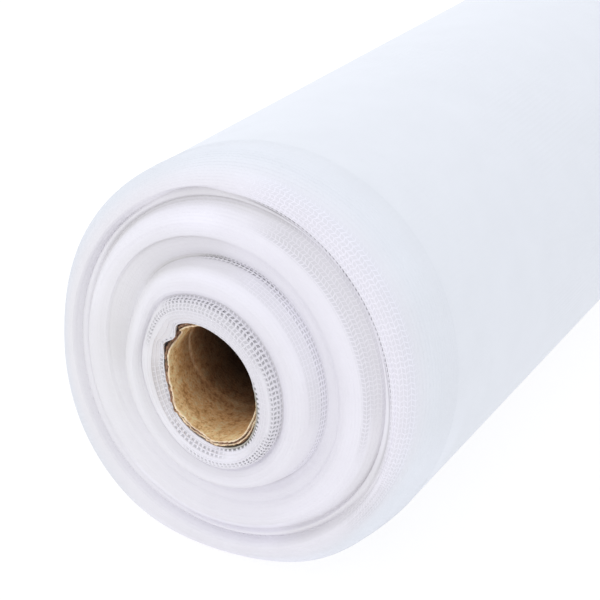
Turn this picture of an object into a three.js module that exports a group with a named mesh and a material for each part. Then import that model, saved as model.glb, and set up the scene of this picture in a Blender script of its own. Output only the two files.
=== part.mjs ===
// A roll of fine insect netting wound on a cardboard core, lying on its side.
// Millimetres, +Z up. The roll lies along Y, its proud end faces -Y, and the floor is Z = 0.
import * as THREE from "three";

// Driving dimensions
const CLOTH_WIDTH = 600;
const ROLL_RADIUS = 60;
const FLAT_HALF_WIDTH = 9.4;
const CORE_RADIUS = 18;
const CORE_WALL = 2;
const GAP = 0.3;
const BORE_RADIUS = CORE_RADIUS + GAP;
const SHOULDER_DEPTH = 13;
const SHOULDER_WIDTH = 9.8;

// The soft roll sags, so its core and end rings sit a little off the centre of its outer wrap
const CORE_OFFSET = { x: -1, z: 1 };
const AXIS_HEIGHT = Math.sqrt(ROLL_RADIUS ** 2 - FLAT_HALF_WIDTH ** 2);

// How finely the rings are divided
const ROLL_SIDES = 80;
const CORE_SIDES = 96;
const PROUD_STEPS = { shoulder: 6, arc: 3 };
const FAR_STEPS = { shoulder: 4, arc: 2 };

// The proud end, from the outer wrap in: crests of the wound stages, and the creases between them.
// y is the place along the roll from the first crease, and lean is how far a ring slants, in mm of y
// for each mm across (leanX) or up (leanZ).
const PROUD_END = [
  { at: "outer wrap", radius: ROLL_RADIUS, y: SHOULDER_DEPTH, leanX: 0.09, leanZ: 0.18 },
  { at: "crest 1", radius: 52.6, y: -0.8, leanX: 0.03, leanZ: 0.12 },
  { at: "crease 1", radius: 50.4, y: 0.7, leanX: 0.01, leanZ: 0.1 },
  { at: "lip", radius: 49.5, y: -0.4, leanX: 0.01, leanZ: 0.1 },
  { at: "inner crease 1", radius: 48.5, y: 0.8, leanX: 0.01, leanZ: 0.1 },
  { at: "crest 2", radius: 43, y: -4, leanX: 0, leanZ: 0.09 },
  { at: "crease 2", radius: 33.6, y: -2, leanX: -0.01, leanZ: 0.07 },
  { at: "crest 3", radius: 29.2, y: -9.6, leanX: -0.06, leanZ: 0.04 },
  { at: "crease 3", radius: 25.4, y: -8.2, leanX: -0.09, leanZ: 0.03 },
  { at: "crest 4", radius: 21.5, y: -11.6, leanX: -0.13, leanZ: 0.02 },
  { at: "bore", radius: BORE_RADIUS, y: -10, leanX: -0.17, leanZ: 0 },
];

// The far end: the same cloth width wound from the same creep, so its stages step inwards
const FAR_END = [
  { at: "outer wrap", radius: ROLL_RADIUS, y: CLOTH_WIDTH - SHOULDER_DEPTH },
  { at: "crest 1", radius: 53, y: CLOTH_WIDTH },
  { at: "crease 1", radius: 50.2, y: CLOTH_WIDTH - 2.4 },
  { at: "crest 2", radius: 43, y: CLOTH_WIDTH - 2.8 },
  { at: "crease 2", radius: 33.6, y: CLOTH_WIDTH - 5.6 },
  { at: "crest 3", radius: 29, y: CLOTH_WIDTH - 8 },
  { at: "crease 3", radius: 25.4, y: CLOTH_WIDTH - 10.4 },
  { at: "crest 4", radius: 21.5, y: CLOTH_WIDTH - 10.8 },
  { at: "bore", radius: BORE_RADIUS, y: CLOTH_WIDTH - 12.4 },
].map((knot) => ({ ...knot, leanX: 0, leanZ: 0 }));

// The torn rim of the core, a little inside the bore's edge: shallow waves all round, and one torn bite
const CORE_RIM = { y: -8.9, leanX: -0.13, leanZ: 0.04 };
const FAR_SETBACK = 8.8;
const RIM_WAVES = [
  { count: 3, height: 0.35, phase: 0.6 },
  { count: 7, height: 0.25, phase: 2.1 },
  { count: 13, height: 0.2, phase: 4.4 },
];
const BITE = { angle: THREE.MathUtils.degToRad(147), halfWidth: THREE.MathUtils.degToRad(17), depth: 4 };

const NETTING = new THREE.MeshStandardMaterial({ color: 0xeef0f6, roughness: 0.75, metalness: 0 });
const CARDBOARD = new THREE.MeshStandardMaterial({ color: 0xa9834f, roughness: 0.9, metalness: 0 });

// One quarter of an ellipse between two knots: steep where it meets a crease, level on a crest
function quarterArc(from, to, steps, risesToCrest) {
  const rows = [];
  for (let step = 0; step < steps; step += 1) {
    const turn = (step / steps) * (Math.PI / 2);
    const level = risesToCrest ? 1 - Math.cos(turn) : Math.sin(turn);
    const steep = risesToCrest ? Math.sin(turn) : 1 - Math.cos(turn);
    rows.push({
      radius: THREE.MathUtils.lerp(from.radius, to.radius, level),
      y: THREE.MathUtils.lerp(from.y, to.y, steep),
      leanX: THREE.MathUtils.lerp(from.leanX, to.leanX, level),
      leanZ: THREE.MathUtils.lerp(from.leanZ, to.leanZ, level),
    });
  }
  return rows;
}

// The rows of one end, from the outer wrap to the bore
function endRows(knots, steps) {
  const rows = knots.slice(0, -1).flatMap((knot, index) => {
    const count = index === 0 ? steps.shoulder : steps.arc;
    return quarterArc(knot, knots[index + 1], count, index % 2 === 0);
  });
  return [...rows, knots[knots.length - 1]];
}

// A ring-shaped solid: rows of points round the Y axis, each row joined to the next and the last to the first
function ringSolid(rows, sides, place) {
  const positions = [];
  rows.forEach((row) => {
    for (let side = 0; side < sides; side += 1) {
      positions.push(...place(row, (side / sides) * Math.PI * 2));
    }
  });
  const indices = [];
  rows.forEach((row, index) => {
    const here = index * sides;
    const next = ((index + 1) % rows.length) * sides;
    for (let side = 0; side < sides; side += 1) {
      const beside = (side + 1) % sides;
      indices.push(here + side, next + side, next + beside);
      indices.push(here + side, next + beside, here + beside);
    }
  });
  const geometry = new THREE.BufferGeometry();
  geometry.setAttribute("position", new THREE.Float32BufferAttribute(positions, 3));
  geometry.setIndex(indices);
  geometry.computeVertexNormals();
  return geometry;
}

// A point of the netting: its ring slants, moves to the core's centre towards the middle, and stays above the floor
function nettingPoint(row, angle) {
  const x = Math.cos(angle) * row.radius;
  const z = Math.sin(angle) * row.radius;
  const inward = THREE.MathUtils.smoothstep(ROLL_RADIUS - row.radius, 0, SHOULDER_WIDTH);
  return [
    x + CORE_OFFSET.x * inward,
    row.y + row.leanX * x + row.leanZ * z,
    Math.max(0, AXIS_HEIGHT + z + CORE_OFFSET.z * inward),
  ];
}

// How far the torn rim stands back at an angle
function rimTear(angle) {
  const waves = RIM_WAVES.reduce((sum, wave) => sum + wave.height * Math.sin(wave.count * angle + wave.phase), 0);
  const nearness = Math.max(0, 1 - Math.abs(angle - BITE.angle) / BITE.halfWidth);
  return waves + BITE.depth * THREE.MathUtils.smoothstep(nearness, 0, 1);
}

function netting() {
  const rows = [...endRows(PROUD_END, PROUD_STEPS).reverse(), ...endRows(FAR_END, FAR_STEPS)];
  return new THREE.Mesh(ringSolid(rows, ROLL_SIDES, nettingPoint), NETTING);
}

function core() {
  const inner = CORE_RADIUS - CORE_WALL;
  const farY = CLOTH_WIDTH - FAR_SETBACK;
  const rows = [
    { radius: inner, y: CORE_RIM.y, torn: true },
    { radius: CORE_RADIUS, y: CORE_RIM.y, torn: true },
    { radius: CORE_RADIUS, y: farY, torn: false },
    { radius: inner, y: farY, torn: false },
  ];
  const place = (row, angle) => {
    const x = Math.cos(angle) * row.radius;
    const z = Math.sin(angle) * row.radius;
    const slant = row.torn ? CORE_RIM.leanX * x + CORE_RIM.leanZ * z + rimTear(angle) : 0;
    return [x + CORE_OFFSET.x, row.y + slant, AXIS_HEIGHT + z + CORE_OFFSET.z];
  };
  return new THREE.Mesh(ringSolid(rows, CORE_SIDES, place), CARDBOARD);
}

// The pieces by name, set with the middle of the roll's length at Y = 0
const roll = new THREE.Group();
Object.entries({ netting, core }).forEach(([name, make]) => {
  const mesh = make();
  mesh.name = name;
  roll.add(mesh);
});
const reach = new THREE.Box3().setFromObject(roll, true);
roll.children.forEach((mesh) => {
  mesh.position.y = -(reach.min.y + reach.max.y) / 2;
});

export default roll;
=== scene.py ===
"""The looks of a roll of insect netting on its cardboard core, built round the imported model, in metres."""
import math

import bpy
import numpy as np
from mathutils import Matrix, Vector


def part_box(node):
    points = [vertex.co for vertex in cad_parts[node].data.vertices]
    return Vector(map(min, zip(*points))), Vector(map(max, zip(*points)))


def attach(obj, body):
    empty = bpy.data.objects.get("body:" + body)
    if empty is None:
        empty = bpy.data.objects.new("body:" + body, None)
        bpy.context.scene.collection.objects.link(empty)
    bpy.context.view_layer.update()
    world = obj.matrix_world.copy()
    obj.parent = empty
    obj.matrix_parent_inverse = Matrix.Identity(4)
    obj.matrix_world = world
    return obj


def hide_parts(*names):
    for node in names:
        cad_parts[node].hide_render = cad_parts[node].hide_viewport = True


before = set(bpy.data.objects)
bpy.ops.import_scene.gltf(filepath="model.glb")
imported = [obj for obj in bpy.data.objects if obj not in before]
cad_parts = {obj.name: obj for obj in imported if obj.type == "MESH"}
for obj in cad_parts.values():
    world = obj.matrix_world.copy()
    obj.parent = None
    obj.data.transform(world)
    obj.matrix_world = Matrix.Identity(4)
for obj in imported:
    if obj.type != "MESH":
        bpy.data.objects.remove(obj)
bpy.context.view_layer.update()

MM = 0.001
TURN = 2 * math.pi
SEED = 7

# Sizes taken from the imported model
netting_low, netting_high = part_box("netting")
core_low, core_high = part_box("core")
ROLL_RADIUS = (netting_high.x - netting_low.x) / 2
AXIS_X = (netting_high.x + netting_low.x) / 2
AXIS_Z = netting_high.z - ROLL_RADIUS
FLOOR_Z = netting_low.z
CORE_RADIUS = (core_high.x - core_low.x) / 2
CORE_X = (core_high.x + core_low.x) / 2
CORE_Z = (core_high.z + core_low.z) / 2
CORE_FAR_Y = core_high.y

# Sizes of the roll and its cloth
CLOTH_WIDTH = 600 * MM
CORE_SETBACK = 8.8 * MM
CREASE_Y = CORE_FAR_Y - CLOTH_WIDTH + CORE_SETBACK
SHOULDER_WIDTH = 9.8 * MM

# How many points go round the netting and round the core
COLUMNS = 420
CORE_COLUMNS = 300

# The shortest length that a vector is divided by
TINY = 1e-12

# The rings of the proud end, from the body in to the bore. Radius and y are in mm, and y is counted from the
# first crease into the roll. The slopes are those before and after the ring, going inwards, in degrees into
# the roll. A lean is the slant of a ring, in mm of y for each mm across and for each mm up. Steps are the
# rows of points from here to the next ring.
PROUD_END = [
    {"at": "body", "radius": 60.0, "y": 42.0, "slopes": (-90, -90), "lean": (0, 0), "steps": 10},
    {"at": "outer wrap", "radius": 60.0, "y": 14.0, "slopes": (-90, -86), "lean": (0.09, 0.18), "steps": 13},
    {"at": "shoulder", "radius": 58.6, "y": 4.7, "slopes": (-54, -54), "lean": (0.07, 0.18), "steps": 15},
    {"at": "crest 1", "radius": 52.6, "y": -1.0, "slopes": (-12, 5), "lean": (0.03, 0.12), "steps": 9},
    {"at": "crease 1", "radius": 50.5, "y": 0.5, "slopes": (45, -45), "lean": (0.01, 0.10), "steps": 6},
    {"at": "lip", "radius": 49.7, "y": -0.5, "slopes": (0, 0), "lean": (0.01, 0.10), "steps": 6},
    {"at": "inner crease", "radius": 48.9, "y": 0.5, "slopes": (50, -40), "lean": (0.01, 0.10), "steps": 15},
    {"at": "crest 2", "radius": 43.2, "y": -3.6, "slopes": (0, 0), "lean": (0, 0.09), "steps": 10},
    {"at": "fold", "radius": 38.9, "y": -3.2, "slopes": (10, 70), "lean": (0, 0.08), "steps": 4},
    {"at": "fold foot", "radius": 38.3, "y": -2.7, "slopes": (45, 5), "lean": (0, 0.08), "steps": 8},
    {"at": "crease 2", "radius": 33.8, "y": -2.2, "slopes": (15, -80), "lean": (-0.01, 0.07), "steps": 20},
    {"at": "crest 3", "radius": 29.4, "y": -9.6, "slopes": (0, 0), "lean": (-0.06, 0.04), "steps": 12},
    {"at": "crease 3", "radius": 25.7, "y": -8.2, "slopes": (40, -75), "lean": (-0.09, 0.03), "steps": 11},
    {"at": "crest 4", "radius": 22.3, "y": -11.6, "slopes": (0, 0), "lean": (-0.13, 0.02), "steps": 10},
    {"at": "bore edge", "radius": 18.3, "y": -10.0, "slopes": (14, 90), "lean": (-0.17, 0), "steps": 5},
    {"at": "bore wall", "radius": 18.3, "y": -6.0, "slopes": (90, 90), "lean": (-0.12, 0), "steps": 4},
    {"at": "bore", "radius": 18.3, "y": 20.0, "slopes": (90, 90), "lean": (0, 0), "steps": 3},
]

# The rings of the far end, from the bore out to the body, which don't slant
FAR_END = [
    {"at": "bore", "radius": 18.3, "y": 575.0, "slopes": (90, 90), "steps": 2},
    {"at": "bore edge", "radius": 18.3, "y": 587.6, "slopes": (90, 80), "steps": 5},
    {"at": "crest 4", "radius": 21.5, "y": 589.2, "slopes": (0, 0), "steps": 5},
    {"at": "crease 3", "radius": 25.4, "y": 588.4, "slopes": (-40, 60), "steps": 5},
    {"at": "crest 3", "radius": 29.0, "y": 592.0, "slopes": (0, 0), "steps": 6},
    {"at": "crease 2", "radius": 33.6, "y": 591.0, "slopes": (-40, 60), "steps": 8},
    {"at": "crest 2", "radius": 43.0, "y": 597.2, "slopes": (0, 0), "steps": 7},
    {"at": "crease 1", "radius": 50.2, "y": 595.6, "slopes": (-40, 70), "steps": 5},
    {"at": "crest 1", "radius": 53.0, "y": 600.0, "slopes": (0, 0), "steps": 9},
    {"at": "outer wrap", "radius": 60.0, "y": 587.0, "slopes": (-90, -90), "steps": 4},
    {"at": "body", "radius": 60.0, "y": 570.0, "slopes": (-90, -90), "steps": 6},
]
UPRIGHT = (0, 0)

# Where a ring of the proud end wanders: an amount outwards and back into the roll, in mm, round an angle in
# degrees. Angles run from the right, over the top, to the left. The foot of the fold wanders with the fold.
SWAYS = [
    {"at": "shoulder", "angle": 100, "spread": 35, "out": 0.5},
    {"at": "shoulder", "angle": 148, "spread": 38, "out": 1.6},
    {"at": "shoulder", "angle": 215, "spread": 35, "out": 0.4},
    {"at": "shoulder", "angle": 272, "spread": 38, "out": -1.9},
    {"at": "shoulder", "angle": 328, "spread": 35, "out": -1.4},
    {"at": "crease 1", "angle": 45, "spread": 60, "out": -0.6},
    {"at": "crease 1", "angle": 107, "spread": 18, "out": 1.1, "back": 0.6},
    {"at": "crease 1", "angle": 150, "spread": 40, "back": 0.8},
    {"at": "crease 1", "angle": 225, "spread": 45, "out": 0.8, "back": -0.6},
    {"at": "crease 1", "angle": 290, "spread": 45, "back": 0.7},
    {"at": "crease 1", "angle": 345, "spread": 32, "out": 1.0, "back": -0.9},
    {"at": "lip", "angle": 45, "spread": 60, "out": -0.1, "back": 0.9},
    {"at": "lip", "angle": 108, "spread": 34, "back": 1.2},
    {"at": "lip", "angle": 190, "spread": 80, "out": -0.9},
    {"at": "lip", "angle": 295, "spread": 55, "out": -0.9},
    {"at": "inner crease", "angle": 45, "spread": 60, "out": 0.5, "back": 0.3},
    {"at": "inner crease", "angle": 108, "spread": 34, "back": 1.0},
    {"at": "inner crease", "angle": 175, "spread": 60, "out": -1.2, "back": -0.5},
    {"at": "inner crease", "angle": 230, "spread": 50, "back": -0.9},
    {"at": "inner crease", "angle": 295, "spread": 45, "out": -1.0},
    {"at": "inner crease", "angle": 345, "spread": 25, "out": 0.6, "back": -0.3},
    {"at": "crest 2", "angle": 45, "spread": 80, "out": -1.2},
    {"at": "crest 2", "angle": 165, "spread": 80, "out": 1.2},
    {"at": "fold", "angle": 20, "spread": 80, "out": -1.2, "back": -0.2},
    {"at": "fold", "angle": 135, "spread": 60, "out": 1.6, "back": -0.3},
    {"at": "fold foot", "angle": 110, "spread": 60, "back": 0.5},
    {"at": "fold foot", "angle": 260, "spread": 90, "back": -0.3},
    {"at": "crease 2", "angle": 10, "spread": 60, "out": 0.2, "back": -0.7},
    {"at": "crease 2", "angle": 105, "spread": 50, "out": -0.4, "back": 1.0},
    {"at": "crease 2", "angle": 155, "spread": 35, "out": -1.1},
    {"at": "crease 2", "angle": 185, "spread": 65, "out": -1.5, "back": 1.0},
    {"at": "crease 2", "angle": 290, "spread": 55, "out": -0.7},
    {"at": "crest 3", "angle": 0, "spread": 60, "out": -0.5},
    {"at": "crest 3", "angle": 157, "spread": 36, "out": -1.6},
    {"at": "crest 3", "angle": 185, "spread": 70, "out": -1.9},
    {"at": "crease 3", "angle": 0, "spread": 45, "out": -0.8, "back": -0.5},
    {"at": "crease 3", "angle": 45, "spread": 40, "out": -0.8},
    {"at": "crease 3", "angle": 92, "spread": 45, "out": -0.6},
    {"at": "crease 3", "angle": 125, "spread": 25, "out": 0.2, "back": -0.3},
    {"at": "crease 3", "angle": 155, "spread": 35, "out": -1.0},
    {"at": "crease 3", "angle": 195, "spread": 70, "out": -1.5},
    {"at": "crease 3", "angle": 318, "spread": 40, "out": -0.8},
    {"at": "crest 4", "angle": 70, "spread": 70, "out": -0.5},
    {"at": "crest 4", "angle": 155, "spread": 35, "out": -0.8},
    {"at": "crest 4", "angle": 195, "spread": 75, "out": -1.6},
    {"at": "bore edge", "angle": 80, "spread": 50, "out": -0.6, "back": -0.2},
    {"at": "bore edge", "angle": 142, "spread": 18, "out": -2.4, "back": 1.0},
    {"at": "bore edge", "angle": 168, "spread": 16, "out": -0.6},
    {"at": "bore edge", "angle": 190, "spread": 50, "out": -1.2, "back": 1.0},
    {"at": "bore edge", "angle": 318, "spread": 62, "out": 0.7},
]

# Fine turns that show as ripples: their length and height in mm, and how many lengths each shifts in one
# turn of the roll. They set in between two lengths along the cloth, and fade between two rows at its end.
RIPPLES = [
    {"length": 1.4, "height": 0.02, "winds": 1, "phase": 0.3},
    {"length": 2.3, "height": 0.035, "winds": -1, "phase": 1.9},
    {"length": 3.9, "height": 0.06, "winds": 2, "phase": 4.1},
]
RIPPLES_SET_IN = (20 * MM, 45 * MM)
RIPPLES_END_ROWS = [-8, -4]

# The belts of the knitted net on the proud end: how many stitches go round, and in mm the pitch of the rows,
# how far the zigzag swings, and how wide the long threads and the ring threads are
NETS = [
    {"name": "net_shoulder", "from": "outer wrap", "to": "crease 1",
     "stitches": 222, "pitch": 0.85, "swing": 0.40, "width": 0.74, "ring_width": 0.42},
    {"name": "net_valley", "from": "inner crease", "to": "crest 2",
     "stitches": 222, "pitch": 0.85, "swing": 0.34, "width": 0.70, "ring_width": 0.42},
    {"name": "net_band", "from": "crest 2", "to": "crease 2",
     "stitches": 168, "pitch": 0.85, "swing": 0.28, "width": 0.60, "ring_width": 0.42},
    {"name": "net_stage", "from": "crease 2", "to": "crease 3",
     "stitches": 144, "pitch": 0.85, "swing": 0.22, "width": 0.66, "ring_width": 0.42},
    {"name": "net_inner", "from": "crease 3", "to": "crest 4",
     "stitches": 105, "pitch": 0.95, "swing": 0.22, "width": 0.88, "ring_width": 0.42},
    {"name": "net_bore", "from": "crest 4", "to": "bore edge",
     "stitches": 82, "pitch": 1.05, "swing": 0.05, "width": 1.08, "ring_width": 0.56},
]

# A long thread's height, how deep threads lie sunk in the closed cloth, how far they rise where the net is
# wide open, and how much further out the ring threads lie
THREAD_HEIGHT = 0.32 * MM
THREAD_SINK = 0.15 * MM
THREAD_LIFT = 0.24 * MM
RING_LIFT = 0.02 * MM

# How unevenly the open net rises: waves round the roll and across its rows of points, where rows is how many
# of them make one radian of the wave
SLACK = 0.16
SLACK_WAVES = [
    {"count": 31, "rows": 3.1, "phase": 0.0},
    {"count": 47, "rows": -2.3, "phase": 2.0},
    {"count": 11, "rows": 8.0, "phase": 0.0},
]

# Where the stitches slant: how many degrees round they move for each SLANT_DEPTH inwards
SLANTS = [
    {"angle": 148, "spread": 30, "shift": -5.0},
    {"angle": 315, "spread": 32, "shift": 6.0},
]
SLANT_DEPTH = 3.5 * MM

# The faint weave of the whole cloth: how many stitches go round, the pitch of its rows, how far its zigzag
# swings, in stitches, and how high its rows are beside its stitches
WEAVE_STITCHES = 222
WEAVE_PITCH = 0.85 * MM
WEAVE_SWING = 0.36
WEAVE_ROW_HEIGHT = 0.8
WEAVE_RELIEF = {"Strength": 0.12, "Distance": 0.3 * MM}

# Where the holes of the net stay open and show painted shadow: a band from start to end, in mm along the
# cloth from a ring going inwards, and the angles in degrees that it runs between. Soft, if given, is how
# gently the band begins and ends, in mm along the cloth.
OPEN_NET_SHADOWED = [
    {"ring": "crease 1", "start": -7.4, "end": -0.4, "from": -40, "to": 84, "amount": 0.21, "soft": 1.2},
    {"ring": "crease 1", "start": -0.6, "end": 0.6, "from": 8, "to": 80, "amount": 0.90},
    {"ring": "crease 1", "start": -0.6, "end": 0.6, "from": -20, "to": 8, "amount": 0.40},
    {"ring": "inner crease", "start": 0.2, "end": 3.6, "from": 0, "to": 75, "amount": 0.20},
    {"ring": "inner crease", "start": 3.6, "end": 5.4, "from": -12, "to": 76, "amount": 0.28, "soft": 0.5},
    {"ring": "crease 2", "start": -0.5, "end": 1.3, "from": 58, "to": 100, "amount": 0.90},
    {"ring": "crease 2", "start": -0.1, "end": 2.4, "from": -62, "to": 60, "amount": 0.40},
    {"ring": "crease 2", "start": 1.7, "end": 5.8, "from": -5, "to": 75, "amount": 0.16},
    {"ring": "crease 3", "start": -0.2, "end": 0.4, "from": -22, "to": 126, "amount": 0.95},
    {"ring": "crease 3", "start": 0.9, "end": 3.6, "from": -24, "to": 40, "amount": 0.70},
    {"ring": "crease 3", "start": 0.9, "end": 2.7, "from": 40, "to": 124, "amount": 0.85},
    {"ring": "crease 3", "start": 2.7, "end": 5.2, "from": 34, "to": 124, "amount": 0.36},
    {"ring": "crease 3", "start": 3.2, "end": 4.8, "from": 124, "to": 160, "amount": 0.65},
    {"ring": "crease 3", "start": 0.7, "end": 5.2, "from": 304, "to": 338, "amount": 0.85},
    {"ring": "crease 3", "start": 1.6, "end": 5.2, "from": 252, "to": 306, "amount": 0.48},
    {"ring": "crease 3", "start": 5.2, "end": 8.0, "from": -40, "to": 125, "amount": 0.12},
    {"ring": "crest 4", "start": 1.1, "end": 3.1, "from": 232, "to": 286, "amount": 0.60},
    {"ring": "crest 4", "start": 1.1, "end": 3.1, "from": 178, "to": 234, "amount": 0.22},
    {"ring": "bore edge", "start": -0.9, "end": 0.2, "from": 282, "to": 382, "amount": 0.90},
    {"ring": "bore edge", "start": -0.8, "end": 0.3, "from": 168, "to": 228, "amount": 0.55},
]

# Where the cloth is painted greyer as shade, and painted whiter as light if the amount is under 0: bands as
# above
PAINTED_SHADE_AND_LIGHT = [
    {"ring": "shoulder", "start": -6.0, "end": 8.0, "from": 35, "to": 112, "amount": -0.03, "soft": 4.0},
    {"ring": "shoulder", "start": -16.0, "end": 3.0, "from": 242, "to": 300, "amount": -0.09, "soft": 3.0},
    {"ring": "shoulder", "start": -20.0, "end": 2.0, "from": 300, "to": 352, "amount": -0.04, "soft": 4.0},
    {"ring": "crease 1", "start": -7.4, "end": -0.6, "from": -22, "to": 88, "amount": -0.09, "soft": 1.0},
    {"ring": "crease 1", "start": -2.5, "end": 3.4, "from": 296, "to": 348, "amount": 0.09, "soft": 0.8},
    {"ring": "crease 1", "start": -0.4, "end": 2.8, "from": 68, "to": 114, "amount": 0.12},
    {"ring": "crease 1", "start": -0.4, "end": 2.8, "from": 114, "to": 146, "amount": 0.06},
    {"ring": "inner crease", "start": -0.4, "end": 1.2, "from": 66, "to": 150, "amount": 0.08},
    {"ring": "inner crease", "start": -0.4, "end": 3.0, "from": 328, "to": 362, "amount": 0.06},
    {"ring": "inner crease", "start": 0.0, "end": 4.6, "from": 0, "to": 76, "amount": 0.03},
    {"ring": "inner crease", "start": 0.4, "end": 4.0, "from": 228, "to": 300, "amount": -0.09, "soft": 1.0},
    {"ring": "inner crease", "start": 0.6, "end": 2.4, "from": 78, "to": 170, "amount": 0.07},
    {"ring": "inner crease", "start": 2.4, "end": 8.5, "from": 92, "to": 168, "amount": -0.06, "soft": 2.0},
    {"ring": "crest 2", "start": -4.0, "end": 2.5, "from": -60, "to": 55, "amount": -0.04, "soft": 2.0},
    {"ring": "crest 2", "start": -3.0, "end": 3.0, "from": 60, "to": 112, "amount": -0.05, "soft": 2.0},
    {"ring": "fold", "start": -3.0, "end": 5.0, "from": 165, "to": 215, "amount": 0.03, "soft": 2.0},
    {"ring": "fold", "start": -0.1, "end": 0.8, "from": 88, "to": 135, "amount": 0.07},
    {"ring": "fold", "start": 0.4, "end": 5.2, "from": 88, "to": 190, "amount": 0.06},
    {"ring": "crease 2", "start": -0.7, "end": 0.5, "from": 90, "to": 142, "amount": 0.18},
    {"ring": "crease 2", "start": -0.5, "end": 0.8, "from": 248, "to": 312, "amount": 0.14},
    {"ring": "crease 2", "start": -0.2, "end": 2.6, "from": -62, "to": 60, "amount": -0.05, "soft": 0.5},
    {"ring": "crease 2", "start": 0.3, "end": 5.8, "from": 78, "to": 132, "amount": 0.12, "soft": 1.5},
    {"ring": "crease 2", "start": 1.9, "end": 8.5, "from": 15, "to": 105, "amount": -0.05, "soft": 1.5},
    {"ring": "crest 3", "start": -8.5, "end": -1.0, "from": 125, "to": 205, "amount": 0.05, "soft": 1.0},
    {"ring": "crest 3", "start": -2.5, "end": 3.4, "from": 60, "to": 165, "amount": -0.03, "soft": 1.5},
    {"ring": "crest 3", "start": 1.4, "end": 4.0, "from": 130, "to": 300, "amount": 0.04, "soft": 1.0},
    {"ring": "crease 3", "start": -0.3, "end": 0.3, "from": -22, "to": 126, "amount": 0.12},
    {"ring": "crease 3", "start": 0.5, "end": 9.4, "from": -45, "to": 165, "amount": 0.04},
    {"ring": "crest 4", "start": -1.0, "end": 5.5, "from": 175, "to": 300, "amount": -0.04, "soft": 1.0},
    {"ring": "bore edge", "start": -6.0, "end": 0.0, "from": 176, "to": 215, "amount": 0.05},
    {"ring": "bore edge", "start": -0.35, "end": 0.2, "from": 290, "to": 378, "amount": 0.45},
    {"ring": "bore edge", "start": 0.2, "end": 14.0, "from": 205, "to": 375, "amount": 0.65},
]

# How softly a band begins and ends: in mm along the cloth if it has no soft of its own, and in degrees
ZONE_EDGE = 0.25
ZONE_EDGE_ANGLE = 9

# The left side of the end, painted greyer as shade, and where the shoulder is no bluer than the end, below
SHADED_LEFT_SIDE = {"angle": 190, "spread": 110}
LESS_BLUE = {"angle": 262, "spread": 62}

# The torn rim of the core: its place and its slant, shallow waves all round, in mm, and one torn bite
CORE_RIM_Y = CREASE_Y - 8.9 * MM
CORE_LEAN = (-0.13, 0.04)
RIM_WAVES = [
    {"count": 3, "height": 0.35, "phase": 0.6},
    {"count": 7, "height": 0.25, "phase": 2.1},
    {"count": 13, "height": 0.20, "phase": 4.4},
    {"count": 41, "height": 0.07, "phase": 1.2},
    {"count": 67, "height": 0.05, "phase": 3.0},
]
BITE = {"angle": 147, "half_width": 17, "depth": 4.0}

# The edges of the core's plies on its rim, from inside out: how far each stands back and how ragged it is,
# in mm, and its tone all round and on the left, from 1 where the cut paper is pale to -1 where it is torn,
# dark and red. Two pale edges lie inside a dark groove, and two more outside it, but for the left. The dark
# of the groove and of the outermost edge, by the gap to the cloth, is partly painted shadow.
PLY_EDGES = [
    {"radius": 16.10, "back": 0.45, "ragged": 0.10, "tones": (-0.2, 0.3)},
    {"radius": 16.34, "back": 0.20, "ragged": 0.14, "tones": (0.8, 0.7)},
    {"radius": 16.50, "back": 0.20, "ragged": 0.16, "tones": (0.3, 0.4)},
    {"radius": 16.66, "back": 1.10, "ragged": 0.26, "tones": (-1.0, -1.0)},
    {"radius": 16.96, "back": 0.60, "ragged": 0.26, "tones": (-1.0, -0.95)},
    {"radius": 17.16, "back": 0.25, "ragged": 0.20, "tones": (0.8, -0.9)},
    {"radius": 17.38, "back": 0.25, "ragged": 0.20, "tones": (0.2, -0.9)},
    {"radius": 17.54, "back": 0.50, "ragged": 0.20, "tones": (-1.0, -1.0)},
    {"radius": 17.82, "back": 0.70, "ragged": 0.14, "tones": (-0.9, -1.0)},
    {"radius": 18.00, "back": 1.00, "ragged": 0.05, "tones": (-1.0, -1.0)},
]
INNER_RADIUS = PLY_EDGES[0]["radius"] * MM

# How much of its raggedness an edge has outwards too, how much of its tone each point takes, and the left of
# the rim, in degrees
RAGGED_OUTWARDS = 1 / 3
TONE_RANGE = (0.85, 1)
LEFT_RIM = {"from": 92, "to": 232, "edge": 10}

# Where the core's mouth is pressed in, on its left, or out, below on its right, and where its rim stands
# further forward, below: how far in and how far back, in mm. What is pressed in fades out down the bore.
PRESSED = [
    {"angle": 185, "spread": 52, "inward": 0.9, "back": 0.4},
    {"angle": 268, "spread": 95, "back": -1.3},
    {"angle": 308, "spread": 52, "inward": -0.6},
]
PRESSED_DEPTH = 14 * MM

# The rows of the core: on its inner wall, closer together at the mouth, and behind the rim on its outside
INNER_WALL_DEPTH = 70 * MM
INNER_WALL_ROWS = 100
INNER_WALL_CROWDING = 1.3
OUTSIDE_ROWS = (12 * MM, 20 * MM)

# The seam of the core's inner ply: where it crosses the left of the bore, how far it winds in one turn, how
# many degrees before that crossing its turn starts, how wide its line is, and where the line shows
SEAM_ANGLE = 152
SEAM_Y = CREASE_Y + 4.1 * MM
SEAM_WIND = 13 * MM
SEAM_LEAD = 60
SEAM_HALF_WIDTH = 0.3 * MM
SEAM_SHOWS = {"angle": 172, "spread": 60}

# The step in the wall at the seam, and the shallow dents behind the mouth: so many waves round the bore,
# which turn so many radians for each metre down it
PLY_STEP = 0.25 * MM
PLY_STEP_LENGTH = 0.5 * MM
DENT_HEIGHT = 0.10 * MM
DENTS_SET_IN = 4 * MM
DENT_WAVES = [
    {"count": 5, "down": 210, "phase": 0.0},
    {"count": 3, "down": -330, "phase": 1.0},
]

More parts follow.
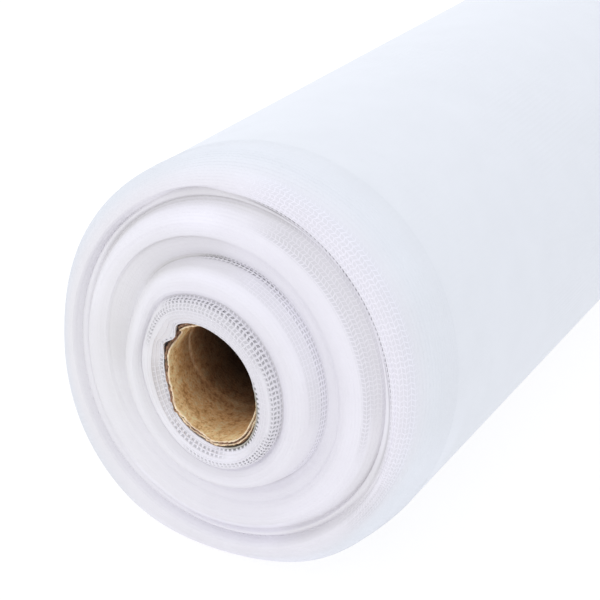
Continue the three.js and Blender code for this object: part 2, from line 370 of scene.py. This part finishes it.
# Painted shade down the bore: how the paper darkens with depth, in mm
BORE_SHADE = [
    {"depth": 0, "colour": (1.00, 1.00, 1.00)},
    {"depth": 3, "colour": (0.97, 0.94, 0.92)},
    {"depth": 5.5, "colour": (0.80, 0.69, 0.61)},
    {"depth": 9, "colour": (0.67, 0.55, 0.49)},
    {"depth": 14, "colour": (0.45, 0.35, 0.31)},
    {"depth": 20, "colour": (0.19, 0.135, 0.115)},
    {"depth": 30, "colour": (0.06, 0.04, 0.035)},
]
BORE_SHADE_DEPTH = BORE_SHADE[-1]["depth"]

# Sides of the bore that get more painted shade, as if they lay this much deeper, in mm, or painted light if
# it is under 0. They set in between two depths.
SHADED_SIDES = [
    {"angle": 150, "spread": 62, "depth": 5.0},
    {"angle": 265, "spread": 55, "depth": -2.5},
]
SHADED_SETS_IN = (3 * MM, 10 * MM)

# The cloth's colours on the end, on its left, painted greyer as shade, and on the body, and how its
# brightness is mottled
CLOTH_ROUGHNESS = 0.75
END_COLOUR = (0.800, 0.782, 0.846, 1)
SHADED_LEFT_COLOUR = (0.797, 0.785, 0.822, 1)
BODY_COLOUR = (0.750, 0.775, 0.838, 1)
CLOTH_MOTTLE = {"Scale": 90.0, "Detail": 3.0}
CLOTH_BRIGHTNESS = {"To Min": 0.975, "To Max": 1.025}

# How dark the painted shadow in the open holes is, and how much of each colour a painted shade of 1 takes
# away: most of the blue
HOLE_PAINTED_SHADOW = 0.62
PAINTED_SHADE_COLOUR = (0.95, 0.97, 1.15)

# The tones of the paper and of its torn edge, from dark to light, whose dark is also the painted shadow in
# the rim's groove and gap, the colours of its seam and pale edges, and its blotches, grain and relief
CARDBOARD_ROUGHNESS = 0.9
PAPER = [(0.36, (0.60, 0.35, 0.14)), (0.50, (0.98, 0.70, 0.36)), (0.62, (1.00, 0.88, 0.55))]
TORN_AND_SHADOWED_PAPER = [(0.40, (0.060, 0.020, 0.018)), (0.64, (0.36, 0.19, 0.15))]
SEAM_COLOUR = (0.85, 0.66, 0.46, 1)
SEAM_STRENGTH = 0.6
PALE_EDGE_COLOUR = (0.90, 0.78, 0.68, 1)
PAPER_BLOTCHES = {"Scale": 420.0, "Detail": 3.0, "Roughness": 0.6}
PAPER_GRAIN = {"Scale": 1400.0, "Detail": 2.0}
PAPER_GRAIN_SHARE = 0.4
TORN_STREAKS = {"Scale": 900.0, "Detail": 2.0}
PAPER_RELIEF = {"Strength": 0.7, "Distance": 0.6 * MM}

# The floor, which glows so that it looks white
FLOOR_REACH = 30
FLOOR_COLOUR = (0.3, 0.3, 0.3, 1)
FLOOR_GLOW = 0.72
FLOOR_ROUGHNESS = 0.9

# The light tent: its colour, its strength all round, its tilt towards +X, +Y and +Z, and how much stronger
# it is at both sides, at both ends, and above and below, and on the diagonals of X and Y, Y and Z, Z and X
SKY_COLOUR = (0.98, 0.99, 1, 1)
SKY_BASE = 0.917
SKY_TILT = (-0.174, 0.158, 0.247)
SKY_ENDS = (-0.049, 0.268, 0.0)
SKY_DIAGONALS = (-0.241, -0.077, 0.024)

# The camera: its focal length and the width of the picture in pixels, the directions to its right and
# forward, and its place from the middle of the first crease
FOCAL_PIXELS = 1500
PICTURE_PIXELS = 600
SENSOR_WIDTH = 36
CAMERA_RIGHT = (0.8581, 0.5135, 0)
CAMERA_FORWARD = (-0.4593, 0.7676, -0.4469)
CAMERA_PLACE = (203.0 * MM, -301.4 * MM, 204.1 * MM)
CLIP_START = 10 * MM


# Meshes

def new_mesh(name, points, quads, smooth=True):
    """A mesh object from arrays of points and of quads."""
    mesh = bpy.data.meshes.new(name)
    points = np.asarray(points, np.float32).reshape(-1, 3)
    quads = np.asarray(quads, np.int32).reshape(-1, 4)
    mesh.vertices.add(len(points))
    mesh.vertices.foreach_set("co", points.ravel())
    mesh.loops.add(quads.size)
    mesh.loops.foreach_set("vertex_index", quads.ravel())
    mesh.polygons.add(len(quads))
    mesh.polygons.foreach_set("loop_start", np.arange(0, quads.size, 4, dtype=np.int32))
    mesh.update(calc_edges=True)
    mesh.polygons.foreach_set("use_smooth", np.full(len(quads), smooth))
    mesh.validate()
    piece = bpy.data.objects.new(name, mesh)
    bpy.context.scene.collection.objects.link(piece)
    return piece


def mark(piece, name, values):
    """Keeps one number for each point of a piece, for its material to read."""
    layer = piece.data.attributes.new(name, "FLOAT", "POINT")
    layer.data.foreach_set("value", np.asarray(values, np.float32).ravel())


def map_weave(piece, along, columns):
    """Lays the weave's coordinates on a closed grid: stitches round the roll, and rows along the cloth."""
    row, column = np.meshgrid(np.arange(len(along)), np.arange(columns), indexing="ij")
    across = column[..., None] + np.array([0, 1, 1, 0])
    along = np.append(along, 2 * along[-1] - along[-2])
    up = along[row[..., None] + np.array([0, 0, 1, 1])]
    places = np.stack([across * WEAVE_STITCHES / columns, up / WEAVE_PITCH], -1)
    layer = piece.data.uv_layers.new(name="weave")
    layer.data.foreach_set("uv", places.astype(np.float32).ravel())


def grid_quads(rows, columns, closed=False):
    """Quads between rows of points, the last column joined to the first, and if closed the last row too."""
    row, column = np.meshgrid(np.arange(rows if closed else rows - 1), np.arange(columns), indexing="ij")
    here = row * columns
    after = (row + 1) % rows * columns
    beside = (column + 1) % columns
    return np.stack([here + column, here + beside, after + beside, after + column], -1)


def unit(vectors):
    return vectors / np.maximum(np.linalg.norm(vectors, axis=-1, keepdims=True), TINY)


def tubes(name, centres, normals, width, height, closed=False):
    """Four-sided tubes along many lines of points, width across the cloth and height off it, in one mesh."""
    count, steps = centres.shape[:2]
    along = np.roll(centres, -1, 1) - np.roll(centres, 1, 1) if closed else np.gradient(centres, axis=1)
    across = unit(np.cross(unit(along), normals)) * width / 2
    up = normals * height / 2
    points = np.stack([centres + across, centres + up, centres - across, centres - up], 2)
    starts = np.arange(count)[:, None, None, None] * steps * 4
    quads = [(grid_quads(steps, 4, closed)[..., ::-1] + starts).reshape(-1, 4)]
    if not closed:
        cap = np.arange(4)
        quads.append(starts.reshape(-1, 1) + cap)
        quads.append(starts.reshape(-1, 1) + (steps - 1) * 4 + cap[::-1])
    return new_mesh(name, points, np.concatenate(quads))


# Smooth shares

def smoothstep(value, low, high):
    """0 up to low, 1 from high, and a smooth rise between them."""
    share = np.clip((value - low) / (high - low), 0, 1)
    return share * share * (3 - 2 * share)


def window(value, low, high, edge):
    """1 between low and high, falling smoothly to 0 over each edge."""
    return smoothstep(value, low - edge, low + edge) * (1 - smoothstep(value, high - edge, high + edge))


def degrees_past(angles, centre):
    """How many degrees each angle lies past a centre, from -180 to 180."""
    return (np.degrees(angles) - centre + 180) % 360 - 180


def between(angles, start, end, edge):
    """1 between two angles in degrees, falling smoothly to 0 over each edge, round the turn."""
    return window(degrees_past(angles, (start + end) / 2), (start - end) / 2, (end - start) / 2, edge)


def bump_round(angles, place):
    """1 at a place's angle, falling smoothly to 0 at its spread on both sides, round the turn."""
    apart = np.abs(degrees_past(angles, place["angle"]))
    return 0.5 + 0.5 * np.cos(math.pi * np.clip(apart / place["spread"], 0, 1))


def bumps(angles, places, amount):
    """The named amount of every place together, at each angle: a place that doesn't give it adds none."""
    return sum(place.get(amount, 0) * bump_round(angles, place) for place in places)


# The wound form

def swayed(knot, sways, angles):
    """A ring's radius and y at each angle, in mm, with the sways of each ring that its name starts with."""
    own = [sway for sway in sways if knot["at"].startswith(sway["at"])]
    radius = np.full(len(angles), knot["radius"]) + bumps(angles, own, "out")
    y = np.full(len(angles), knot["y"]) + bumps(angles, own, "back")
    return np.stack([radius, y], -1)


def tangent(degrees, reach, inward):
    """The way that a ring's slope points, as long as the reach to the next ring."""
    turn = math.radians(degrees)
    return np.stack([-inward * reach * math.cos(turn), reach * math.sin(turn)], -1)


def curve_point(start, end, leave, arrive, share):
    """The point at a share of the way along a smooth curve, from its ends and its tangents there."""
    straight = start + smoothstep(share, 0, 1) * (end - start)
    return straight + share * (1 - share) ** 2 * leave - share ** 2 * (1 - share) * arrive


def end_rows(knots, sways, angles, inward):
    """Rows of (radius, y, lean x, lean z) through the rings, on a smooth curve from each to the next."""
    rows = []
    for knot, following in zip(knots, knots[1:]):
        start = swayed(knot, sways, angles)
        end = swayed(following, sways, angles)
        reach = np.hypot(*(end - start).T)
        leave = tangent(knot["slopes"][1], reach, inward)
        arrive = tangent(following["slopes"][0], reach, inward)
        leans = np.array([knot.get("lean", UPRIGHT), following.get("lean", UPRIGHT)])
        for share in np.linspace(0, 1, knot["steps"], endpoint=False):
            place = curve_point(start, end, leave, arrive, share)
            lean = leans[0] + smoothstep(share, 0, 1) * (leans[1] - leans[0])
            rows.append(np.concatenate([place * MM, np.broadcast_to(lean, place.shape)], -1))
    return np.stack(rows)


def place_rows(rows, angles):
    """Points of rings round the roll: slanted, and moved to the core's centre inwards."""
    radius, y, lean_x, lean_z = np.moveaxis(rows, -1, 0)
    x = np.cos(angles) * radius
    z = np.sin(angles) * radius
    inward = smoothstep(ROLL_RADIUS - radius, 0, SHOULDER_WIDTH)
    return np.stack([
        AXIS_X + x + (CORE_X - AXIS_X) * inward,
        CREASE_Y + y + lean_x * x + lean_z * z,
        AXIS_Z + z + (CORE_Z - AXIS_Z) * inward,
    ], -1)


def above_floor(points, clearance=0.0):
    """The points, with none lower than the clearance over the floor."""
    points[..., 2] = np.maximum(points[..., 2], FLOOR_Z + clearance)
    return points


def grid_normals(points):
    across = np.roll(points, -1, 1) - np.roll(points, 1, 1)
    return unit(np.cross(across, np.gradient(points, axis=0)))


def lengths(points):
    """The mean distance of each row of points from the first, along the cloth."""
    steps = np.linalg.norm(np.diff(points, axis=0), axis=-1).mean(1)
    return np.concatenate([[0], np.cumsum(steps)])


def ripple(along, angles):
    """The height of the fine turns at a length along the cloth and an angle."""
    height = 0
    for wave in RIPPLES:
        turned = TURN * along / (wave["length"] * MM) + wave["winds"] * angles + wave["phase"]
        height = height + wave["height"] * MM * np.sin(turned)
    return height


class ProudEnd:
    """The surface of the proud end, which the net is laid on: points and normals by row and angle."""

    def __init__(self, rows, angles):
        points = place_rows(rows, angles)
        self.along = lengths(points)
        fade_in = smoothstep(self.along, *RIPPLES_SET_IN)
        fade_out = smoothstep(self.along, *self.along[RIPPLES_END_ROWS])
        relief = ripple(self.along[:, None], angles) * (fade_in * (1 - fade_out))[:, None]
        self.points = above_floor(points + grid_normals(points) * relief[..., None])
        self.normals = grid_normals(self.points)
        self.radius = rows[..., 0]
        names = [knot["at"] for knot in PROUD_END]
        starts = np.cumsum([0] + [knot["steps"] for knot in PROUD_END[:-1]])
        self.row_of = dict(zip(names, starts))

    def even_rows(self, first, last, count):
        """Fractional rows that lie evenly along the cloth, from one length to another."""
        return np.interp(np.linspace(first, last, count), self.along, np.arange(len(self.along)))

    def zones(self, table, row, angle):
        """How much of a table of bands lies at each row and angle."""
        along = np.interp(row, np.arange(len(self.along)), self.along)
        total = np.zeros(np.broadcast(row, angle).shape)
        for zone in table:
            beyond = along - self.along[self.row_of[zone["ring"]]]
            edge = zone.get("soft", ZONE_EDGE) * MM
            inside = window(beyond, zone["start"] * MM, zone["end"] * MM, edge)
            inside = inside * between(angle, zone["from"], zone["to"], ZONE_EDGE_ANGLE)
            total = total + zone["amount"] * inside
        return total

    def at(self, grid, row, angle):
        """The grid's value at fractional rows and at angles."""
        low = np.clip(np.floor(row).astype(int), 0, len(grid) - 2)
        column = angle / TURN * COLUMNS
        left = np.floor(column).astype(int)
        down = row - low
        side = column - left
        if grid.ndim == 3:
            down = down[..., None]
            side = side[..., None]
        right = (left + 1) % COLUMNS
        left = left % COLUMNS
        upper = grid[low, left] * (1 - side) + grid[low, right] * side
        lower = grid[low + 1, left] * (1 - side) + grid[low + 1, right] * side
        return upper * (1 - down) + lower * down


def netting(surface, angles):
    """The wound cloth: one closed shell from the body over both ends and through the bore."""
    far_end = place_rows(end_rows(FAR_END, [], angles, -1), angles)
    points = np.concatenate([surface.points, above_floor(far_end)])
    piece = new_mesh("netting", points, grid_quads(len(points), COLUMNS, closed=True))
    map_weave(piece, lengths(points), COLUMNS)
    row, angle = np.meshgrid(np.arange(len(points)), angles, indexing="ij")
    # Marks the open holes for their painted shadow
    mark(piece, "painted_hole_shadow", surface.zones(OPEN_NET_SHADOWED, row, angle))
    mark_tones(piece, surface, row, angle)
    return piece


def mark_tones(piece, surface, row, angle, sides=1):
    """Marks each point's tones: its painted shade and light, the bluer body, and the left side of the end,
    painted greyer as shade.
    """
    onto_end = smoothstep(row, surface.row_of["shoulder"], surface.row_of["crest 1"])
    near_body = (1 - onto_end) * (1 - bump_round(angle, LESS_BLUE))
    far_body = smoothstep(row, len(surface.along), len(surface.along) + 1)
    # Painted shade and painted light, in bands
    mark(piece, "painted_shade_and_light", np.repeat(surface.zones(PAINTED_SHADE_AND_LIGHT, row, angle).ravel(), sides))
    mark(piece, "body", np.repeat(np.maximum(near_body, far_body).ravel(), sides))
    # The end's left side is painted greyer as shade
    mark(piece, "left", np.repeat(bump_round(angle, SHADED_LEFT_SIDE).ravel(), sides))


# The knitted net

def net(surface, belt):
    """One belt of the net: stitches that zigzag from ring to ring, and the ring threads that they cross."""
    first = surface.along[surface.row_of[belt["from"]]]
    last = surface.along[surface.row_of[belt["to"]]]
    rings = int(round((last - first) / MM / belt["pitch"])) + 1
    return [
        long_threads(surface, belt, surface.even_rows(first, last, 2 * rings - 1)),
        ring_threads(surface, belt, surface.even_rows(first, last, rings)),
    ]


def long_threads(surface, belt, row):
    """The stitches of a belt, with a turn of their zigzag at every second row and a point between."""
    stitches = (np.arange(belt["stitches"]) + 0.5) / belt["stitches"] * TURN
    radius = surface.at(surface.radius, row, np.zeros_like(row))
    zigzag = np.abs(np.arange(len(row)) / 2 % 2 - 1) * 2 - 1
    angle = stitches[:, None] + zigzag * belt["swing"] * MM / radius
    angle = angle + slant(stitches)[:, None] * (radius[0] - radius) / SLANT_DEPTH
    row = np.broadcast_to(row, angle.shape)
    centres, normals = lifted(surface, row, angle, 0.0)
    piece = tubes(belt["name"], centres, normals, belt["width"] * MM, THREAD_HEIGHT)
    mark_tones(piece, surface, row, angle, sides=4)
    return piece


def ring_threads(surface, belt, row):
    """The ring threads of a belt, one round the roll at each row."""
    turn = np.arange(belt["stitches"]) / belt["stitches"] * TURN
    row, angle = np.broadcast_arrays(row[:, None], turn)
    centres, normals = lifted(surface, row, angle, RING_LIFT)
    width = belt["ring_width"] * MM
    piece = tubes(belt["name"] + "_rings", centres, normals, width, width, closed=True)
    mark_tones(piece, surface, row, angle, sides=4)
    return piece


def slant(angle):
    """How far stitches lean round the roll, in radians for each SLANT_DEPTH inwards."""
    return np.radians(bumps(angle, SLANTS, "shift"))


def lifted(surface, row, angle, extra):
    """Points over the surface: threads stand off it where the net is open, and lie sunk in it elsewhere."""
    normals = unit(surface.at(surface.normals, row, angle))
    openness = np.clip(surface.zones(OPEN_NET_SHADOWED, row, angle), 0, 1)
    lift = THREAD_LIFT * openness * unevenness(row, angle) - THREAD_SINK + extra
    points = surface.at(surface.points, row, angle) + normals * lift[..., None]
    return above_floor(points, THREAD_HEIGHT / 2), normals


def unevenness(row, angle):
    """How slack the net lies from place to place, about 1."""
    waves = sum(np.sin(wave["count"] * angle + row / wave["rows"] + wave["phase"]) for wave in SLACK_WAVES)
    return 1 + SLACK * waves


# The core

def core(rng):
    """The cardboard tube: torn plies at its rim, and a wall of wound paper, a little dented inside."""
    angles = np.linspace(0, TURN, CORE_COLUMNS, endpoint=False)
    mouth = rim_y(angles)
    inside = inner_rings(angles, mouth)
    section = np.stack([
        *inside,
        *ply_rings(rng, mouth),
        *(ring(CORE_RADIUS, CORE_RIM_Y + behind) for behind in OUTSIDE_ROWS),
        ring(CORE_RADIUS, CORE_FAR_Y),
        ring(INNER_RADIUS, CORE_FAR_Y),
    ])
    radius, y = np.moveaxis(section, -1, 0)
    depth = y - mouth
    radius = radius - bumps(angles, PRESSED, "inward") * MM * (1 - smoothstep(depth, 0, PRESSED_DEPTH))
    points = np.stack([CORE_X + np.cos(angles) * radius, y, CORE_Z + np.sin(angles) * radius], -1)
    piece = new_mesh("core_tube", points, grid_quads(len(section), CORE_COLUMNS, closed=True)[..., ::-1])
    mark_plies(piece, rng, angles, len(inside), depth.shape)
    mark_bore(piece, angles, y, depth)
    return piece


def ring(radius, y):
    """One ring of the core's section, from a radius and a y, or from one of them for each column."""
    return np.stack([np.broadcast_to(radius, CORE_COLUMNS), np.broadcast_to(y, CORE_COLUMNS)], -1)


def rim_y(angles):
    """Where the rim of the core is at each angle: slanted, torn and pressed."""
    slope = (CORE_LEAN[0] * np.cos(angles) + CORE_LEAN[1] * np.sin(angles)) * CORE_RADIUS
    return CORE_RIM_Y + rim_tear(angles) + slope + bumps(angles, PRESSED, "back") * MM


def rim_tear(angles):
    """How far the torn rim stands back at each angle."""
    waves = sum(wave["height"] * np.sin(wave["count"] * angles + wave["phase"]) for wave in RIM_WAVES)
    apart = np.abs(degrees_past(angles, BITE["angle"]))
    return (waves + BITE["depth"] * smoothstep(1 - apart / BITE["half_width"], 0, 1)) * MM


def inner_rings(angles, mouth):
    """Rings of the core's inner wall, from deep in the bore out to its mouth."""
    start = mouth + PLY_EDGES[0]["back"] * MM
    reach = CORE_RIM_Y + INNER_WALL_DEPTH - start
    shares = np.linspace(1, 0, INNER_WALL_ROWS, endpoint=False) ** INNER_WALL_CROWDING
    return [inner_ring(angles, start + reach * share, start) for share in shares]


def inner_ring(angles, y, start):
    """One ring of the core's inner wall: a step at the seam of its inner ply, and shallow dents."""
    step = PLY_STEP * smoothstep(y - seam_y(angles), 0, PLY_STEP_LENGTH)
    dents = DENT_HEIGHT * smoothstep(y - start, 0, DENTS_SET_IN)
    for wave in DENT_WAVES:
        dents = dents * np.sin(wave["count"] * angles + wave["down"] * y + wave["phase"])
    return ring(INNER_RADIUS - step + dents, y)


def seam_y(angles):
    """Where the seam of the inner ply lies at each angle."""
    turned = (np.degrees(angles) - SEAM_ANGLE + SEAM_LEAD) % 360 - SEAM_LEAD
    return SEAM_Y + turned / 360 * SEAM_WIND


def ply_rings(rng, mouth):
    """Rings along the ragged edges of the plies on the rim, from inside out."""
    rings = []
    for edge in PLY_EDGES:
        radius = edge["radius"] * MM + ragged_edge(rng, edge["ragged"] * RAGGED_OUTWARDS)
        y = mouth + edge["back"] * MM + ragged_edge(rng, edge["ragged"])
        rings.append(ring(radius, y))
    return rings


def ragged_edge(rng, reach):
    """An uneven line round the rim, which strays about as far as its reach in mm."""
    jitter = rng.normal(0, 1, CORE_COLUMNS)
    return reach * MM * (jitter + np.roll(jitter, 1) + np.roll(jitter, 2)) / 2


def mark_plies(piece, rng, angles, first_row, shape):
    """Marks how pale, or how dark and torn, the edge of each ply is on the rim, with painted shadow in that
    dark.
    """
    tone = np.zeros(shape)
    left = between(angles, LEFT_RIM["from"], LEFT_RIM["to"], LEFT_RIM["edge"])
    for row, edge in enumerate(PLY_EDGES, first_row):
        all_round, on_left = edge["tones"]
        tone[row] = (all_round + (on_left - all_round) * left) * rng.uniform(*TONE_RANGE, CORE_COLUMNS)
    mark(piece, "pale", np.maximum(tone, 0))
    mark(piece, "torn_and_shadowed", np.maximum(-tone, 0))


def mark_bore(piece, angles, y, depth):
    """Marks the painted shade of each point of the bore, darker the deeper it lies, and where the line of
    its seam shows.
    """
    shaded = bumps(angles, SHADED_SIDES, "depth") * MM * smoothstep(depth, *SHADED_SETS_IN)
    mark(piece, "painted_bore_shade", np.clip((depth + shaded) / (BORE_SHADE_DEPTH * MM), 0, 1))
    near_seam = window(y - seam_y(angles), -SEAM_HALF_WIDTH, SEAM_HALF_WIDTH, SEAM_HALF_WIDTH)
    mark(piece, "seam", near_seam * bump_round(angles, SEAM_SHOWS))


# Shader nodes

def add(tree, kind, inputs, **settings):
    """A shader node with its settings, and its inputs set to a value or linked to another node's output."""
    made = tree.nodes.new("ShaderNode" + kind)
    for key, value in settings.items():
        setattr(made, key, value)
    for key, value in inputs.items():
        if isinstance(value, bpy.types.NodeSocket):
            tree.links.new(value, made.inputs[key])
        else:
            made.inputs[key].default_value = value
    return made


def new_material(name, roughness):
    material = bpy.data.materials.new(name)
    material.use_nodes = True
    shader = material.node_tree.nodes["Principled BSDF"]
    shader.inputs["Roughness"].default_value = roughness
    return material, material.node_tree, shader


def read_mark(tree, name):
    return add(tree, "Attribute", {}, attribute_name=name).outputs["Fac"]


def noise(tree, place, settings):
    return add(tree, "TexNoise", {"Vector": place, **settings}).outputs["Fac"]


def math_node(tree, operation, first, second):
    return add(tree, "Math", {0: first, 1: second}, operation=operation).outputs[0]


def vector_node(tree, operation, first, second):
    return add(tree, "VectorMath", {0: first, 1: second}, operation=operation).outputs["Vector"]


def same_vector(tree, value):
    return add(tree, "CombineXYZ", {0: value, 1: value, 2: value}).outputs["Vector"]


def mix_numbers(tree, share, first, second):
    """Two numbers mixed by a share: a Mix node takes them in its inputs 2 and 3, and gives its output 0."""
    return add(tree, "Mix", {"Factor": share, 2: first, 3: second}).outputs[0]


def mix_colours(tree, share, first, second, blend="MIX"):
    """Two colours mixed by a share: a Mix node takes them in its inputs 6 and 7, and gives its output 2."""
    inputs = {"Factor": share, 6: first, 7: second}
    return add(tree, "Mix", inputs, data_type="RGBA", blend_type=blend).outputs[2]


def colour_ramp(tree, value, stops):
    """A value's colour, from stops of a place and a colour."""
    made = add(tree, "ValToRGB", {"Fac": value})
    elements = made.color_ramp.elements
    while len(elements) < len(stops):
        elements.new(0.5)
    for element, (place, colour) in zip(elements, stops):
        element.position = place
        element.color = (*colour, 1)
    return made.outputs["Color"]


# Materials

def cloth_material(name, with_holes):
    """White net: lilac on the end, bluer on the body, with painted shadow in the open holes, painted shade
    and light in bands, and a left side painted greyer as shade.
    """
    material, tree, shader = new_material(name, CLOTH_ROUGHNESS)
    place = add(tree, "TexCoord", {}).outputs["Object"]
    mottle = noise(tree, place, CLOTH_MOTTLE)
    # The end's left side takes a greyer colour as painted shade
    end_tint = mix_colours(tree, read_mark(tree, "left"), END_COLOUR, SHADED_LEFT_COLOUR)
    tint = mix_colours(tree, read_mark(tree, "body"), end_tint, BODY_COLOUR)
    brightness = add(tree, "MapRange", {"Value": mottle, **CLOTH_BRIGHTNESS}).outputs["Result"]
    if with_holes:
        # Painted shadow darkens the open holes
        dark = math_node(tree, "MULTIPLY", read_mark(tree, "painted_hole_shadow"), HOLE_PAINTED_SHADOW)
        brightness = math_node(tree, "MULTIPLY", brightness, math_node(tree, "SUBTRACT", 1.0, dark))
    # Painted shade takes colour away, most of all blue, and painted light adds it where the amount is under
    # 0
    painted_shade_and_light = vector_node(tree, "MULTIPLY", same_vector(tree, read_mark(tree, "painted_shade_and_light")), PAINTED_SHADE_COLOUR)
    lit = vector_node(tree, "SUBTRACT", (1, 1, 1), painted_shade_and_light)
    lit = vector_node(tree, "MULTIPLY", lit, same_vector(tree, brightness))
    tree.links.new(vector_node(tree, "MULTIPLY", tint, lit), shader.inputs["Base Color"])
    if with_holes:
        relief = add(tree, "Bump", {"Height": weave_height(tree), **WEAVE_RELIEF}).outputs["Normal"]
        tree.links.new(relief, shader.inputs["Normal"])
    return material


def weave_height(tree):
    """Stitches that zigzag along the cloth, crossed by the threads of each row."""
    place = add(tree, "UVMap", {}, uv_map="weave").outputs["UV"]
    across, along, _ = add(tree, "SeparateXYZ", {0: place}).outputs
    zigzag = math_node(tree, "PINGPONG", along, 1.0)
    across = math_node(tree, "ADD", across, math_node(tree, "MULTIPLY", zigzag, WEAVE_SWING))
    stitches = math_node(tree, "COSINE", math_node(tree, "MULTIPLY", across, TURN), 0.0)
    rows = math_node(tree, "COSINE", math_node(tree, "MULTIPLY", along, TURN), 0.0)
    return math_node(tree, "MAXIMUM", stitches, math_node(tree, "MULTIPLY", rows, WEAVE_ROW_HEIGHT))


def cardboard_material():
    """Tan wound paper: mottled, fibrous, painted darker down the bore as shade, and pale or red-brown on the
    rim, where its dark is partly painted shadow.
    """
    material, tree, shader = new_material("cardboard", CARDBOARD_ROUGHNESS)
    place = add(tree, "TexCoord", {}).outputs["Object"]
    blotches = noise(tree, place, PAPER_BLOTCHES)
    grain = noise(tree, place, PAPER_GRAIN)
    mixed = mix_numbers(tree, PAPER_GRAIN_SHARE, blotches, grain)
    # Painted shade darkens the paper down the bore
    bore_shade_stops = [(stop["depth"] / BORE_SHADE_DEPTH, stop["colour"]) for stop in BORE_SHADE]
    bore_shade_colour = colour_ramp(tree, read_mark(tree, "painted_bore_shade"), bore_shade_stops)
    inner = mix_colours(tree, 1.0, colour_ramp(tree, mixed, PAPER), bore_shade_colour, blend="MULTIPLY")
    seam = math_node(tree, "MULTIPLY", read_mark(tree, "seam"), SEAM_STRENGTH)
    with_seam = mix_colours(tree, seam, inner, SEAM_COLOUR)
    with_rim = mix_colours(tree, read_mark(tree, "pale"), with_seam, PALE_EDGE_COLOUR)
    # The torn edges, whose dark is also painted shadow in the rim's groove and by the gap to the cloth
    streaks = noise(tree, place, TORN_STREAKS)
    torn_and_shadowed = mix_colours(tree, read_mark(tree, "torn_and_shadowed"), with_rim, colour_ramp(tree, streaks, TORN_AND_SHADOWED_PAPER))
    tree.links.new(torn_and_shadowed, shader.inputs["Base Color"])
    relief = add(tree, "Bump", {"Height": mixed, **PAPER_RELIEF}).outputs["Normal"]
    tree.links.new(relief, shader.inputs["Normal"])
    return material


# Stage

def floor():
    corners = [(-1, -1), (1, -1), (1, 1), (-1, 1)]
    points = [(x * FLOOR_REACH, y * FLOOR_REACH, FLOOR_Z) for x, y in corners]
    piece = new_mesh("floor", points, [[0, 1, 2, 3]], smooth=False)
    material, _, shader = new_material("floor", FLOOR_ROUGHNESS)
    shader.inputs["Base Color"].default_value = FLOOR_COLOUR
    shader.inputs["Emission Color"].default_value = (1, 1, 1, 1)
    shader.inputs["Emission Strength"].default_value = FLOOR_GLOW
    piece.data.materials.append(material)


def sky():
    """A pale light tent: brightest behind the roll and to its left, and darkest at its right and below."""
    world = bpy.data.worlds.new("sky")
    bpy.context.scene.world = world
    world.use_nodes = True
    tree = world.node_tree
    direction = add(tree, "TexCoord", {}).outputs["Generated"]
    x, y, z = add(tree, "SeparateXYZ", {0: direction}).outputs
    turned = add(tree, "CombineXYZ", {0: y, 1: z, 2: x}).outputs["Vector"]
    squares = vector_node(tree, "MULTIPLY", direction, direction)
    diagonals = vector_node(tree, "MULTIPLY", direction, turned)
    strength = SKY_BASE
    for parts, shares in ((direction, SKY_TILT), (squares, SKY_ENDS), (diagonals, SKY_DIAGONALS)):
        share = add(tree, "VectorMath", {0: parts, 1: shares}, operation="DOT_PRODUCT").outputs["Value"]
        strength = math_node(tree, "ADD", strength, share)
    tree.links.new(strength, tree.nodes["Background"].inputs["Strength"])
    tree.nodes["Background"].inputs["Color"].default_value = SKY_COLOUR


def camera():
    """The photograph's view: from the right of the proud end and above it."""
    data = bpy.data.cameras.new("camera")
    data.sensor_width = SENSOR_WIDTH
    data.lens = FOCAL_PIXELS / PICTURE_PIXELS * SENSOR_WIDTH
    data.clip_start = CLIP_START
    seen = bpy.data.objects.new("camera", data)
    bpy.context.scene.collection.objects.link(seen)
    right = Vector(CAMERA_RIGHT)
    forward = Vector(CAMERA_FORWARD).normalized()
    up = right.cross(forward).normalized()
    turn = Matrix((right, up, -forward)).transposed()
    place = Vector((AXIS_X, CREASE_Y, AXIS_Z)) + Vector(CAMERA_PLACE)
    seen.matrix_world = Matrix.Translation(place) @ turn.to_4x4()
    bpy.context.scene.camera = seen


def dress(piece, material):
    piece.data.materials.append(material)
    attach(piece, "root")


bpy.context.scene.view_settings.view_transform = "Standard"
camera()
floor()
sky()

ring_angles = np.linspace(0, TURN, COLUMNS, endpoint=False)
proud_end = ProudEnd(end_rows(PROUD_END, SWAYS, ring_angles, 1), ring_angles)
roll = netting(proud_end, ring_angles)
dress(roll, cloth_material("netting", True))
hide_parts("netting")

thread = cloth_material("thread", False)
for belt in NETS:
    for piece in net(proud_end, belt):
        dress(piece, thread)

tube = core(np.random.default_rng(SEED))
dress(tube, cardboard_material())
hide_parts("core")
